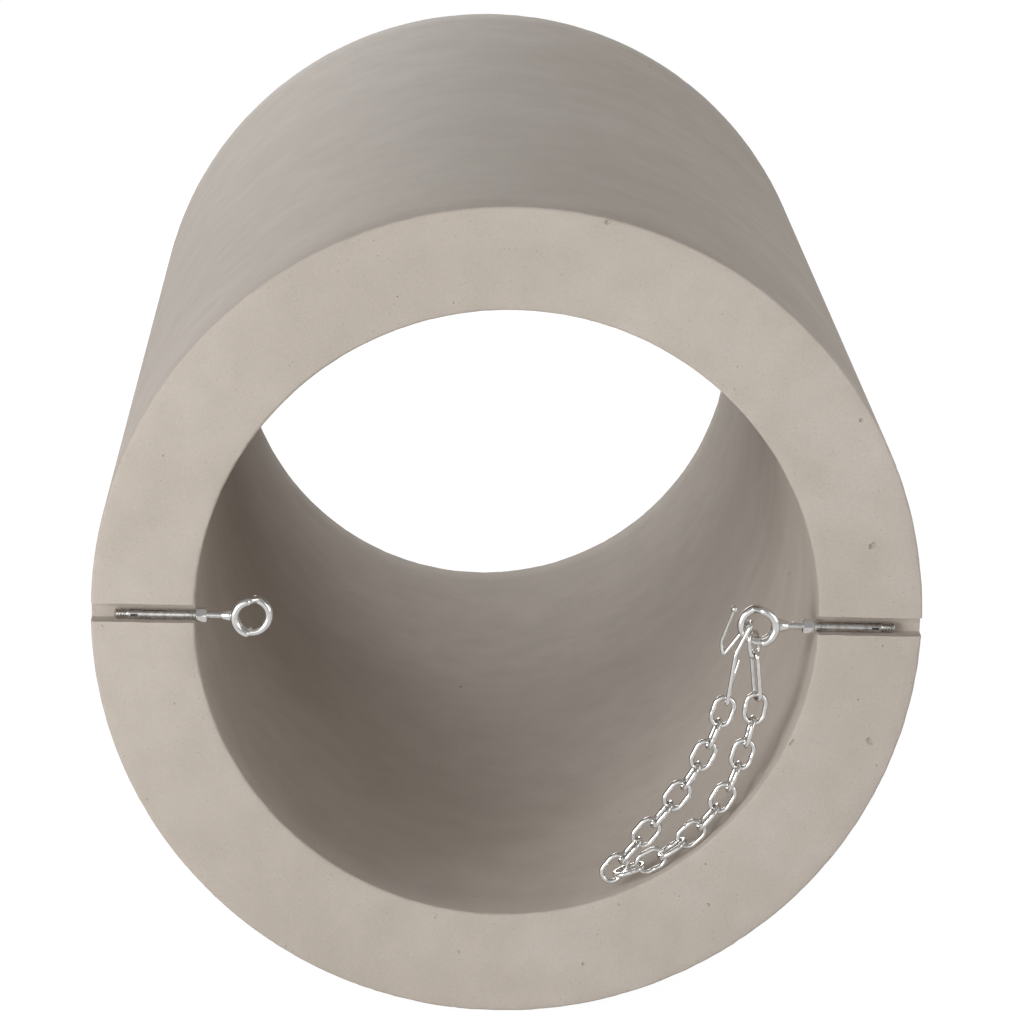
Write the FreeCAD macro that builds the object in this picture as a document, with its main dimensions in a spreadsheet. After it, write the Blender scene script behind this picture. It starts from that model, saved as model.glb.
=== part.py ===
"""Concrete manhole section with a pair of cast-in end grooves, two eye anchors and a chain with a hook.

The section lies on its side with its axis along Y. Its grooved end faces -Y, +Z is up, and the origin
is on the floor, under the middle of the section. Sizes are millimetres.
"""
import FreeCAD, Part
import math
import os
import Sketcher

Vector = FreeCAD.Vector
Rotation = FreeCAD.Rotation
Placement = FreeCAD.Placement

# name, value, what it is
DIMENSIONS = [
    ("outer_diameter", 800.0, "outside of the concrete section"),
    ("bore_diameter", 600.0, "inside of the concrete section"),
    ("section_length", 1350.0, "end to end"),
    ("rim_chamfer", 2.0, "break on the four round edges"),
    ("groove_width", 18.0, "slot across the wall in the near end"),
    ("groove_depth", 19.0, "slot depth from the near end"),
    ("groove_drop", 3.0, "slot centre below the bore axis"),
    ("anchor_drop", 6.8, "anchor axis below the bore axis"),
    ("anchor_inset", 12.8, "anchor axis behind the near end"),
    ("eye_offset", 243.0, "right eye centre from the bore axis"),
    ("left_eye_extra", 2.6, "how much further out the left anchor sits"),
    ("eye_radius", 16.4, "centreline radius of the eye's bar"),
    ("eye_bar", 8.2, "bar diameter of the eye"),
    ("neck_start", 16.0, "neck, from the eye centre outwards"),
    ("neck_length", 14.0, "conical neck, inner end buried in the eye"),
    ("neck_small_diameter", 8.0, "neck at the thread"),
    ("neck_large_diameter", 13.6, "neck at the eye"),
    ("shank_diameter", 8.0, "threaded shank"),
    ("shank_length", 98.0, "from the neck into the cone"),
    ("nut_start", 43.0, "nut, from the eye centre outwards"),
    ("nut_length", 10.9, "nut thickness"),
    ("nut_flats", 13.0, "nut across flats"),
    ("thread_play", 0.2, "how much wider a hole is than the shank"),
    ("washer_start", 54.0, "washer, from the eye centre outwards"),
    ("washer_length", 10.3, "washer and spacer ring"),
    ("washer_diameter", 10.2, "outside of the washer"),
    ("sleeve_start", 64.4, "sleeve, from the eye centre outwards"),
    ("sleeve_length", 54.5, "split sleeve"),
    ("sleeve_diameter", 9.8, "outside of the sleeve"),
    ("window_start", 45.0, "window slot from the sleeve's inner end"),
    ("window_length", 7.0, "window slot along the sleeve"),
    ("window_width", 3.4, "window slot across the sleeve"),
    ("cone_start", 119.0, "cone, from the eye centre outwards"),
    ("cone_length", 13.0, "cone that spreads the sleeve"),
    ("cone_small_diameter", 9.0, "cone at the sleeve"),
    ("cone_large_diameter", 10.0, "cone at the tip"),
    ("link_rod", 5.0, "bar diameter of a chain link"),
    ("link_inner_length", 24.1, "inside length of a chain link"),
    ("link_width", 24.0, "outside width of a chain link"),
    ("long_link_rod", 4.4, "bar diameter of the long link"),
    ("long_link_inner_length", 43.4, "inside length of the long link"),
    ("long_link_width", 16.4, "outside width of the long link"),
    ("eye_link_inner_length", 21.0, "inside length of the link on the eye"),
    ("eye_link_width", 20.0, "outside width of the link on the eye"),
    ("hook_rod", 4.4, "bar diameter of the hook"),
    ("hook_ball", 7.0, "ball on the hook's tip"),
    ("hook_clearance", 1.0, "air between the hook and what it passes"),
    ("hook_bend", 6.0, "how far from a corner the hook's bar starts to bend"),
    ("hook_through", 6.0, "hook beside the eye's centre where it passes through"),
    ("hook_tip_arm", 37.0, "outer stretch of the guard arm, up to the ball"),
    ("hook_tip_lean", 18.0, "degrees off plumb of that stretch"),
    ("hook_guard_arm", 14.0, "inner stretch of the guard arm"),
    ("hook_guard_lean", -10.0, "degrees off plumb of that stretch"),
    ("hook_back_arm", 42.0, "arm behind the eye, down to the corner"),
    ("hook_back_lean", 36.0, "degrees off plumb of the back arm"),
    ("hook_front_arm", 31.0, "upper stretch of the front arm, down from the eye"),
    ("hook_front_lean", 26.0, "degrees off plumb of that stretch"),
    ("hook_return_arm", 44.0, "arm that rises again behind the first link"),
    ("hook_return_lean", 15.0, "degrees off plumb of the return arm"),
]

PITCH_PLAY = 0.2  # slack between two links


def make_sheet(doc):
    """Put the driving dimensions in a spreadsheet, one aliased cell each."""
    sheet = doc.addObject("Spreadsheet::Sheet", "Dimensions")
    for row, (alias, value, note) in enumerate(DIMENSIONS, start=1):
        sheet.set("A%d" % row, alias)
        sheet.set("B%d" % row, str(value))
        sheet.set("C%d" % row, note)
        sheet.setAlias("B%d" % row, alias)
    doc.recompute()
    return sheet


document = FreeCAD.newDocument("manhole_section")
dims = make_sheet(document)
parts = []


def primitive(kind, name, placement=None, **expressions):
    """Add one Part primitive whose sizes are bound to the sheet."""
    shape = document.addObject("Part::" + kind, name)
    for field, expression in expressions.items():
        shape.setExpression(field, expression.replace("$", "Dimensions."))
    if placement is not None:
        shape.Placement = placement
    return shape


def fuse(name, shapes):
    """Join several shapes into one solid."""
    joined = document.addObject("Part::MultiFuse", name)
    joined.Shapes = shapes
    return joined


def cut(name, base, tool):
    """Take one shape away from another."""
    result = document.addObject("Part::Cut", name)
    result.Base = base
    result.Tool = tool
    return result


def keep(label, shape):
    """Give a finished sub-part the label that names its file."""
    shape.Label = label
    parts.append(shape)
    return shape


def bore_axis():
    """Point where the bore axis meets the near end."""
    return Vector(0, -dims.section_length / 2, dims.outer_diameter / 2)


# ---------------------------------------------------------------- concrete section

def add_circle(sketch, diameter_alias):
    """Draw one circle about the sketch's origin, with its diameter bound to the sheet."""
    index = sketch.addGeometry(Part.Circle(Vector(), Vector(0, 0, 1), dims.get(diameter_alias) / 2), False)
    sketch.addConstraint(Sketcher.Constraint("Coincident", index, 3, -1, 1))
    place = sketch.addConstraint(Sketcher.Constraint("Diameter", index, dims.get(diameter_alias)))
    sketch.setExpression("Constraints[%d]" % place, "Dimensions." + diameter_alias)


def make_section():
    """The cast ring: padded from two circles, slotted across its near end, edges broken."""
    body = document.addObject("PartDesign::Body", "Section")
    plane = next(f for f in body.Origin.OriginFeatures if f.Role == "XZ_Plane")
    profile = body.newObject("Sketcher::SketchObject", "RingProfile")
    profile.AttachmentSupport = [(plane, "")]
    profile.MapMode = "FlatFace"
    add_circle(profile, "outer_diameter")
    add_circle(profile, "bore_diameter")
    pad = body.newObject("PartDesign::Pad", "Ring")
    pad.Profile = profile
    pad.setExpression("Length", "Dimensions.section_length")
    pad.SideType = "Symmetric"
    document.recompute()

    rims = [
        "Edge%d" % number
        for number, edge in enumerate(pad.Shape.Edges, start=1)
        if isinstance(edge.Curve, Part.Circle)
    ]
    chamfer = body.newObject("PartDesign::Chamfer", "RimBreak")
    chamfer.Base = (pad, rims)
    chamfer.setExpression("Size", "Dimensions.rim_chamfer")

    slot = body.newObject("PartDesign::SubtractiveBox", "EndGrooves")
    slot.setExpression("Length", "Dimensions.outer_diameter + 2 * Dimensions.rim_chamfer")
    slot.setExpression("Width", "Dimensions.groove_depth + Dimensions.rim_chamfer")
    slot.setExpression("Height", "Dimensions.groove_width")
    slot.Placement = Placement(
        Vector(
            -dims.outer_diameter / 2 - dims.rim_chamfer,
            -dims.section_length / 2 - dims.rim_chamfer,
            -dims.groove_drop - dims.groove_width / 2,
        ),
        Rotation(),
    )
    body.Tip = slot
    body.Placement.Base = Vector(0, 0, dims.outer_diameter / 2)
    return keep("manhole_section", body)


# ---------------------------------------------------------------- eye anchors

# Clock angles round the eye, from the neck downwards: where the bar steps forward and where it ends.
KNEE_CLOCK = 270.0
TAIL_CLOCK = 445.0
TURN_GAP = 0.2  # clear space between the eye's rear and front turns
KNEE_SWELL = 1.03  # the bent bar is a little thicker at its step
KNEE_OVERLAP = 0.4  # how far the step reaches into each turn, in bar diameters


def outward(side, start):
    """Placement whose Z runs outwards along an anchor, starting `start` from its eye centre."""
    eye = eye_centre(side)
    turn = Rotation(Vector(0, 0, 1), Vector(side, 0, 0))
    return Placement(eye + Vector(side * start, 0, 0), turn)


def eye_centre(side):
    """Centre of an eye's rear turn: side is +1 for the right anchor and -1 for the left."""
    extra = dims.left_eye_extra if side < 0 else 0.0
    x = side * (dims.eye_offset + extra)
    return bore_axis() + Vector(x, dims.anchor_inset, -dims.anchor_drop)


def eye_turn(name, side, first, last, step_forward):
    """Part of a turn of the eye, from clock angle `first` to `last`, counted from the neck downwards."""
    # The torus lies in the XZ plane with its start towards the neck; the left eye is turned half round.
    facing = Rotation(Vector(1, 0, 0), 90 if side < 0 else -90)
    flip = Rotation(Vector(0, 1, 0), 180 if side < 0 else 0)
    begin = Rotation(Vector(0, 0, 1), first)
    forward = Vector(0, -step_forward, 0)
    place = Placement(eye_centre(side) + forward, flip.multiply(facing).multiply(begin))
    turn = primitive("Torus", name, place, Radius1="$eye_radius", Radius2="$eye_bar / 2")
    turn.Angle3 = last - first
    return turn


def knee(name, side, clock, step_forward):
    """Short thick bar that carries the rear turn forward to the front turn."""
    angle = math.radians(clock)
    overlap = dims.eye_bar * KNEE_OVERLAP
    offset = Vector(
        side * dims.eye_radius * math.cos(angle),
        -step_forward - overlap,
        -dims.eye_radius * math.sin(angle),
    )
    place = Placement(eye_centre(side) + offset, Rotation(Vector(1, 0, 0), -90))
    bar = primitive("Cylinder", name, place, Radius="$eye_bar / 2 * %s" % KNEE_SWELL)
    bar.Height = step_forward + 2 * overlap
    return bar


def make_anchor(side, prefix):
    """One sleeve anchor: eye bolt, nut, washer, sleeve and cone."""
    tag = prefix.capitalize()
    step = dims.eye_bar + TURN_GAP
    neck = primitive(
        "Cone", tag + "Neck", outward(side, dims.neck_start),
        Radius1="$neck_large_diameter / 2", Radius2="$neck_small_diameter / 2", Height="$neck_length",
    )
    shank = primitive(
        "Cylinder", tag + "Shank", outward(side, dims.neck_start + dims.neck_length),
        Radius="$shank_diameter / 2", Height="$shank_length",
    )
    eye = fuse(tag + "EyeBolt", [
        eye_turn(tag + "RearTurn", side, 0.0, KNEE_CLOCK, 0.0),
        knee(tag + "Knee", side, KNEE_CLOCK, step),
        eye_turn(tag + "FrontTurn", side, KNEE_CLOCK, TAIL_CLOCK, step),
        neck,
        shank,
    ])
    keep(prefix + "_eye_bolt", eye)

    def hole(name, start, expression):
        """Clearance hole for the shank."""
        return primitive(
            "Cylinder", name, outward(side, start),
            Radius="($shank_diameter + $thread_play) / 2", Height=expression,
        )

    nut = primitive(
        "Prism", tag + "NutBlank", outward(side, dims.nut_start),
        Circumradius="$nut_flats / sqrt(3)", Height="$nut_length",
    )
    keep(prefix + "_nut", cut(tag + "Nut", nut, hole(tag + "NutHole", dims.nut_start, "$nut_length")))
    washer = primitive(
        "Cylinder", tag + "WasherBlank", outward(side, dims.washer_start),
        Radius="$washer_diameter / 2", Height="$washer_length",
    )
    washer_hole = hole(tag + "WasherHole", dims.washer_start, "$washer_length")
    keep(prefix + "_washer", cut(tag + "Washer", washer, washer_hole))

    sleeve = primitive(
        "Cylinder", tag + "SleeveBlank", outward(side, dims.sleeve_start),
        Radius="$sleeve_diameter / 2", Height="$sleeve_length",
    )
    sleeve_hole = hole(tag + "SleeveHole", dims.sleeve_start, "$sleeve_length")
    window_place = outward(side, dims.sleeve_start + dims.window_start)
    window_place.Base += Vector(0, -dims.sleeve_diameter, -dims.window_width / 2)
    if side < 0:
        window_place.Base.x -= dims.window_length
    window_place.Rotation = Rotation()
    window = primitive(
        "Box", tag + "Window", window_place,
        Length="$window_length", Width="$sleeve_diameter", Height="$window_width",
    )
    tube = cut(tag + "SleeveTube", sleeve, sleeve_hole)
    keep(prefix + "_sleeve", cut(tag + "Sleeve", tube, window))

    cone = primitive(
        "Cone", tag + "ConeBlank", outward(side, dims.cone_start),
        Radius1="$cone_small_diameter / 2", Radius2="$cone_large_diameter / 2", Height="$cone_length",
    )
    reach = dims.neck_start + dims.neck_length + dims.shank_length + dims.thread_play
    seat = primitive(
        "Cylinder", tag + "ConeSeat", outward(side, dims.cone_start),
        Radius="($shank_diameter + $thread_play) / 2",
    )
    seat.Height = reach - dims.cone_start
    keep(prefix + "_cone", cut(tag + "Cone", cone, seat))


# ---------------------------------------------------------------- chain

def make_link(label, centre, along, across, rod="link_rod", inner="link_inner_length", width="link_width"):
    """One link: two half rings joined by two straight bars.

    `along` is the link's long direction and `across` lies in the link's plane.
    """
    normal = along.cross(across).normalize()
    side = normal.cross(along).normalize()
    frame = Placement(centre, Rotation(along, side, normal, "XYZ"))
    bend = dims.get(width) / 2 - dims.get(rod) / 2
    straight = dims.get(inner) + 2 * dims.get(rod) - dims.get(width)
    tag = "".join(word.capitalize() for word in label.split("_"))
    pieces = []
    for end in (1, -1):
        spot = Placement(Vector(end * straight / 2, 0, 0), Rotation(Vector(0, 0, 1), -90 * end))
        bow = primitive(
            "Torus", "%sBow%s" % (tag, "A" if end > 0 else "B"), frame.multiply(spot),
            Radius1="($%s - $%s) / 2" % (width, rod), Radius2="$%s / 2" % rod,
        )
        bow.Angle3 = 180
        leg_spot = Placement(Vector(-straight / 2, end * bend, 0), Rotation(Vector(0, 1, 0), 90))
        leg = primitive(
            "Cylinder", "%sLeg%s" % (tag, "A" if end > 0 else "B"), frame.multiply(leg_spot),
            Radius="$%s / 2" % rod, Height="$%s + 2 * $%s - $%s" % (inner, rod, width),
        )
        pieces += [bow, leg]
    return keep(label, fuse(tag, pieces))


def downhill(lean):
    """Direction that leads down and towards the bore's bottom, `lean` degrees off plumb."""
    angle = math.radians(lean)
    return Vector(-math.sin(angle), 0, -math.cos(angle))


# Where the two strands begin, from the bore axis at the near end: sideways, into the bore, up.
HOOK_STRAND_TOP = Vector(215.1, 12.3, -82.6)
EYE_STRAND_TOP = Vector(244.8, 12.3, -78.6)
# Lean of each link off plumb, from the top of its strand down to the turn at the bottom.
HOOK_STRAND_LEANS = [17, 21, 25.5, 31, 34.5, 37.5, 39, 39, 38]
EYE_STRAND_LEANS = [9, 13, 16.5, 21, 29, 38.5, 46, 54.5, 61]
# Where the turning link takes hold inside the last link of the hook's strand, from that link's centre.
TURN_HOLD = Vector(3.2, 0.0, -5.1)


def strand(first_number, step, top, leans):
    """Links hanging one from another; every second link is turned a quarter about its length."""
    spot = bore_axis() + top
    pitch = dims.link_inner_length - PITCH_PLAY
    number = first_number
    centres = []
    for lean in leans:
        along = downhill(lean)
        centre = spot + along * (pitch / 2)
        facing = Vector(0, 1, 0) if number % 2 == 0 else along.cross(Vector(0, 1, 0))
        make_link("chain_link_%02d" % number, centre, along, facing)
        centres.append(centre)
        spot = spot + along * pitch
        number += step
    return centres, spot


def make_chain():
    """Both strands and the link that turns between them."""
    hook_side, _ = strand(1, 1, HOOK_STRAND_TOP, HOOK_STRAND_LEANS)
    _, eye_side_end = strand(19, -1, EYE_STRAND_TOP, EYE_STRAND_LEANS)
    hold = hook_side[-1] + TURN_HOLD
    along = (eye_side_end - hold).normalize()
    centre = hold + along * (dims.link_inner_length / 2)
    make_link("chain_link_10", centre, along, Vector(0, 1, 0))


def round_bar(label, points, diameter_alias, ball_alias):
    """Bar bent through the points, with a ball on its first end."""
    radius = dims.get(diameter_alias) / 2
    shape = Part.makeSphere(dims.get(ball_alias) / 2, points[0])
    for start, end in zip(points, points[1:]):
        run = end - start
        shape = shape.fuse([Part.makeCylinder(radius, run.Length, start, run), Part.makeSphere(radius, end)])
    bar = document.addObject("Part::Feature", label)
    bar.Shape = shape.removeSplitter()
    return keep(label, bar)


# The most of an arm that the bend at one of its ends may take up.
BEND_SHARE = 0.4


def bent(corners, steps=4):
    """Points along a bar that follows straight arms and bends round each inner corner."""
    points = [corners[0]]
    for before, corner, after in zip(corners, corners[1:], corners[2:]):
        towards, onwards = before - corner, after - corner
        reach = min(dims.hook_bend, towards.Length * BEND_SHARE, onwards.Length * BEND_SHARE)
        start = corner + towards.normalize() * reach
        end = corner + onwards.normalize() * reach
        for step in range(steps + 1):
            share = step / steps
            points.append(start * (1 - share) ** 2 + corner * (2 * share * (1 - share)) + end * share ** 2)
    return points + [corners[-1]]


def make_hook():
    """Bent bar hook: guard arm, back arm, through the eye, front arm, foot under link 01, return arm."""
    rod = dims.hook_rod / 2
    past_eye = Vector(0, dims.eye_bar / 2 + rod + dims.hook_clearance, 0)
    past_link = Vector(0, dims.link_rod / 2 + rod + dims.hook_clearance, 0)
    through = eye_centre(1) + Vector(-dims.hook_through, 0, dims.hook_through / 2)
    beside = downhill(dims.hook_back_lean) * (dims.hook_through / 2)
    foot = bore_axis() + HOOK_STRAND_TOP - Vector(0, 0, rod + dims.hook_clearance)
    behind = through + beside + past_eye
    corner = behind + downhill(dims.hook_back_lean) * dims.hook_back_arm
    guard = corner - downhill(dims.hook_guard_lean) * dims.hook_guard_arm
    tip = guard - downhill(dims.hook_tip_lean) * dims.hook_tip_arm - past_eye
    front = through + beside - past_eye
    knee = front + downhill(dims.hook_front_lean) * dims.hook_front_arm
    end = foot + past_link - downhill(dims.hook_return_lean) * dims.hook_return_arm
    corners = [tip, guard, corner, behind, through, front, knee, foot - past_link, foot + past_link, end]
    return round_bar("chain_hook", bent(corners), "hook_rod", "hook_ball")


# From the bore axis at the near end: where the eye link hangs on the eye, and the long link on it.
EYE_HOLD = Vector(238.2, 12.8, -15.6)
LONG_LINK_HOLD = Vector(240.4, 12.8, -36.4)
# The planes of these two links, each a little off square to the section's end.
EYE_LINK_ACROSS = Vector(0.56, 0.83, 0.0)
LONG_LINK_ACROSS = Vector(-0.42, 0.91, 0.0)


def make_eye_links():
    """The link on the eye, and the long link that joins the chain to it."""
    for label, high, low, across, inner, width in (
        ("eye_link", EYE_HOLD, LONG_LINK_HOLD, EYE_LINK_ACROSS, "eye_link_inner_length", "eye_link_width"),
        ("long_link", LONG_LINK_HOLD, EYE_STRAND_TOP, LONG_LINK_ACROSS,
         "long_link_inner_length", "long_link_width"),
    ):
        centre = bore_axis() + (high + low) / 2
        make_link(label, centre, (low - high).normalize(), across, "long_link_rod", inner, width)


make_section()
make_anchor(-1, "left")
make_anchor(1, "right")
make_chain()
make_eye_links()
make_hook()
document.recompute()

for item in document.Objects:
    if "Invalid" in item.State or "Error" in item.State:
        raise RuntimeError("%s did not rebuild: %s" % (item.Label, item.State))
for part in parts:
    if part.Shape.isNull() or not part.Shape.isValid() or len(part.Shape.Solids) != 1:
        raise RuntimeError("%s is not one valid solid" % part.Label)

os.makedirs("parts", exist_ok=True)
for part in parts:
    part.Shape.exportStep("parts/%s.step" % part.Label)
    print("%-18s %9.1f cm3" % (part.Label, part.Shape.Volume / 1000.0))
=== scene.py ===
"""Looks of a concrete manhole section: cast ring, sleeve anchors with eyes, and a chain with a hook."""
import logging
import math
import random
from dataclasses import dataclass, field
from enum import Enum
from typing import Optional, Sequence

import bpy
from mathutils import Matrix, Vector, noise


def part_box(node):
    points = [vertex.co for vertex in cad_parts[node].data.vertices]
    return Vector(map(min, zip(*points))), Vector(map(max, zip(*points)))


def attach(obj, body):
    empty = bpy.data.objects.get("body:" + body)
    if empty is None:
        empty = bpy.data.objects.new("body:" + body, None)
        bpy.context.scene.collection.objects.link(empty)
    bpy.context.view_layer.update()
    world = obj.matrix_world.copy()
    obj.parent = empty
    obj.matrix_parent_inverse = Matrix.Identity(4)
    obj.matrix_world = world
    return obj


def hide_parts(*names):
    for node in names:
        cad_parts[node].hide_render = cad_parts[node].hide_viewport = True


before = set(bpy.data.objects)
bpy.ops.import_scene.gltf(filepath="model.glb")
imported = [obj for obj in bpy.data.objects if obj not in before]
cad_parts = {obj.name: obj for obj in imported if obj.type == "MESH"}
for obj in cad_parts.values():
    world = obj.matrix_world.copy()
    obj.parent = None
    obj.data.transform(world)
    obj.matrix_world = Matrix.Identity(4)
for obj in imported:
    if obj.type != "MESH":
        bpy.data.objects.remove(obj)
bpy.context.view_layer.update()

LOG = logging.getLogger("manhole_section")
MM = 0.001
BODY = "root"
FULL_TURN = 2.0 * math.pi


class Side(Enum):
    """Which side of the bore an anchor sits on."""

    LEFT = -1
    RIGHT = 1

    @property
    def prefix(self) -> str:
        """Start of the anchor's node names."""
        return self.name.lower()


# ------------------------------------------------------------------ modelling helpers


def deselect_all() -> None:
    """Leave object mode with nothing selected."""
    if bpy.context.object and bpy.context.object.mode != "OBJECT":
        bpy.ops.object.mode_set(mode="OBJECT")
    bpy.ops.object.select_all(action="DESELECT")


def make_active(piece: bpy.types.Object) -> None:
    """Select one object alone and make it active.

    Args:
        piece: The object to work on.
    """
    deselect_all()
    piece.select_set(True)
    bpy.context.view_layer.objects.active = piece


def finish_normals(piece: bpy.types.Object, merge: float = 0.02 * MM) -> None:
    """Merge doubles and point every face outwards.

    Args:
        piece: A mesh object.
        merge: Distance under which two vertices are one.
    """
    make_active(piece)
    bpy.ops.object.mode_set(mode="EDIT")
    bpy.ops.mesh.select_all(action="SELECT")
    bpy.ops.mesh.remove_doubles(threshold=merge)
    bpy.ops.mesh.normals_make_consistent(inside=False)
    bpy.ops.object.mode_set(mode="OBJECT")


def smooth(piece: bpy.types.Object, angle: float = 35.0) -> None:
    """Shade smooth, but keep edges sharper than an angle crisp.

    Args:
        piece: A mesh object.
        angle: Limit in degrees.
    """
    make_active(piece)
    bpy.ops.object.shade_smooth_by_angle(angle=math.radians(angle))


def settle(piece: bpy.types.Object, place: Optional[Matrix] = None) -> bpy.types.Object:
    """Move a piece to its place and write that place into its mesh.

    Args:
        piece: The object to settle.
        place: Where its own frame goes, or None to keep it.

    Returns:
        The same object, unturned at the origin.
    """
    make_active(piece)
    if place is not None:
        piece.matrix_world = place
    bpy.ops.object.transform_apply(location=True, rotation=True, scale=True)
    return piece


def apply_modifiers(piece: bpy.types.Object) -> None:
    """Apply every modifier of a piece, in order."""
    make_active(piece)
    for modifier in list(piece.modifiers):
        bpy.ops.object.modifier_apply(modifier=modifier.name)


def join(name: str, pieces: Sequence[bpy.types.Object]) -> bpy.types.Object:
    """Join meshes into one object.

    Args:
        name: The joined object's name.
        pieces: At least one mesh object.

    Returns:
        The joined object.
    """
    deselect_all()
    for piece in pieces:
        piece.select_set(True)
    bpy.context.view_layer.objects.active = pieces[0]
    if len(pieces) > 1:
        bpy.ops.object.join()
    joined = bpy.context.object
    joined.name = name
    return joined


def select_edges(piece: bpy.types.Object, axis: int, reach: float) -> None:
    """Select only the edges that run further than a distance along one axis.

    Args:
        piece: A mesh object in object mode.
        axis: 0 for X, 1 for Y, 2 for Z.
        reach: The distance.
    """
    make_active(piece)
    bpy.ops.object.mode_set(mode="EDIT")
    bpy.ops.mesh.select_mode(type="EDGE")
    bpy.ops.mesh.select_all(action="DESELECT")
    bpy.ops.object.mode_set(mode="OBJECT")
    mesh = piece.data
    for edge in mesh.edges:
        first, second = (mesh.vertices[i].co for i in edge.vertices)
        edge.select = abs(first[axis] - second[axis]) > reach


def combine(base: bpy.types.Object, tool: bpy.types.Object, operation: str) -> None:
    """Cut, join or intersect one mesh with another and delete the tool.

    Args:
        base: The mesh that stays.
        tool: The mesh that works on it.
        operation: DIFFERENCE, UNION or INTERSECT.
    """
    boolean = base.modifiers.new("boolean", "BOOLEAN")
    boolean.operation = operation
    boolean.solver = "EXACT"
    boolean.object = tool
    apply_modifiers(base)
    bpy.data.objects.remove(tool, do_unlink=True)


def downhill(lean: float) -> Vector:
    """Direction down and to the left, so many degrees off plumb."""
    angle = math.radians(lean)
    return Vector((-math.sin(angle), 0.0, -math.cos(angle)))


def turned(name: str, outline: Sequence[tuple[float, float]], steps: int = 48) -> bpy.types.Object:
    """Turn an outline about the local X axis, as on a lathe.

    Args:
        name: The new object's name.
        outline: Pairs of distance along X and radius; ends at zero radius close the shape.
        steps: Facets round the axis.

    Returns:
        The turned solid, its axis on local X.
    """
    deselect_all()
    mesh = bpy.data.meshes.new(name)
    points = [(along, 0.0, radius) for along, radius in outline]
    mesh.from_pydata(points, [(i, i + 1) for i in range(len(points) - 1)], [])
    piece = bpy.data.objects.new(name, mesh)
    bpy.context.collection.objects.link(piece)
    make_active(piece)
    bpy.ops.object.mode_set(mode="EDIT")
    bpy.ops.mesh.select_all(action="SELECT")
    bpy.ops.mesh.spin(steps=steps, angle=FULL_TURN, center=(0, 0, 0), axis=(1, 0, 0))
    bpy.ops.object.mode_set(mode="OBJECT")
    finish_normals(piece)
    return piece


def bar_along(name: str, points: Sequence[Vector], radii: Sequence[float], fine: int = 4) -> bpy.types.Object:
    """Round bar along a smooth line, with rounded ends.

    Args:
        name: The new object's name.
        points: Points on the bar's centreline.
        radii: The bar's radius at each point.
        fine: Bevel resolution of the round section.

    Returns:
        The bar as a mesh.
    """
    deselect_all()
    bpy.ops.curve.primitive_nurbs_path_add(location=(0, 0, 0))
    curve = bpy.context.object
    curve.name = name
    data = curve.data
    data.splines.clear()
    data.dimensions = "3D"
    data.twist_mode = "MINIMUM"
    spline = data.splines.new("NURBS")
    spline.points.add(len(points) - 1)
    for control, point, radius in zip(spline.points, points, radii):
        control.co = (*point, 1.0)
        control.radius = radius / max(radii)
    spline.order_u = 3
    spline.use_endpoint_u = True
    spline.resolution_u = 4
    data.bevel_depth = max(radii)
    data.bevel_resolution = fine
    data.use_fill_caps = True
    bpy.ops.object.convert(target="MESH")
    bar = bpy.context.object
    finish_normals(bar)
    return bar


# ------------------------------------------------------------------ finishes


@dataclass(frozen=True)
class NodeHelper:
    """Short way to add and wire nodes in one tree."""

    tree: bpy.types.NodeTree

    def add(self, kind: str, label: str = "", **values: object) -> bpy.types.Node:
        """Add a node and set its fields and inputs.

        Args:
            kind: The node's type name without its ShaderNode start, or a full type name.
            label: A label for the reader.
            **values: Fields by name; an input is set by its name with spaces as underscores.

        Returns:
            The new node.
        """
        full = kind if kind.startswith("Node") else "ShaderNode" + kind
        node = self.tree.nodes.new(full)
        node.label = label
        for key, value in values.items():
            socket = node.inputs.get(key.replace("_", " "))
            if hasattr(node, key):
                setattr(node, key, value)
            elif isinstance(value, bpy.types.NodeSocket):
                self.tree.links.new(value, socket)
            else:
                socket.default_value = value
        return node

    def ramp(self, value: bpy.types.NodeSocket, stops: Sequence[tuple[float, float]]) -> bpy.types.NodeSocket:
        """Map a value through a ramp of greys.

        Args:
            value: The socket to read.
            stops: Pairs of position and grey level.

        Returns:
            The ramp's colour output.
        """
        node = self.add("ValToRGB", Fac=value)
        elements = node.color_ramp.elements
        for element, (position, level) in zip(elements, stops):
            element.position = position
            element.color = (level, level, level, 1.0)
        for position, level in stops[2:]:
            element = elements.new(position)
            element.color = (level, level, level, 1.0)
        return node.outputs["Color"]

    def blend(
        self,
        fac: object,
        first: object,
        second: object,
        mode: str = "MIX",
    ) -> bpy.types.NodeSocket:
        """Mix two colours.

        Args:
            fac: Number or socket.
            first: Colour or socket.
            second: Colour or socket.
            mode: Blend type.

        Returns:
            The mixed colour.
        """
        node = self.tree.nodes.new("ShaderNodeMix")
        node.data_type = "RGBA"
        node.blend_type = mode
        for socket, value in ((node.inputs[0], fac), (node.inputs[6], first), (node.inputs[7], second)):
            if isinstance(value, bpy.types.NodeSocket):
                self.tree.links.new(value, socket)
            else:
                socket.default_value = value
        return node.outputs[2]

    def maths(self, operation: str, first: object, second: object = 0.0) -> bpy.types.NodeSocket:
        """One maths step on two numbers or sockets."""
        node = self.tree.nodes.new("ShaderNodeMath")
        node.operation = operation
        for socket, value in zip(node.inputs, (first, second)):
            if isinstance(value, bpy.types.NodeSocket):
                self.tree.links.new(value, socket)
            else:
                socket.default_value = value
        return node.outputs[0]


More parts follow.
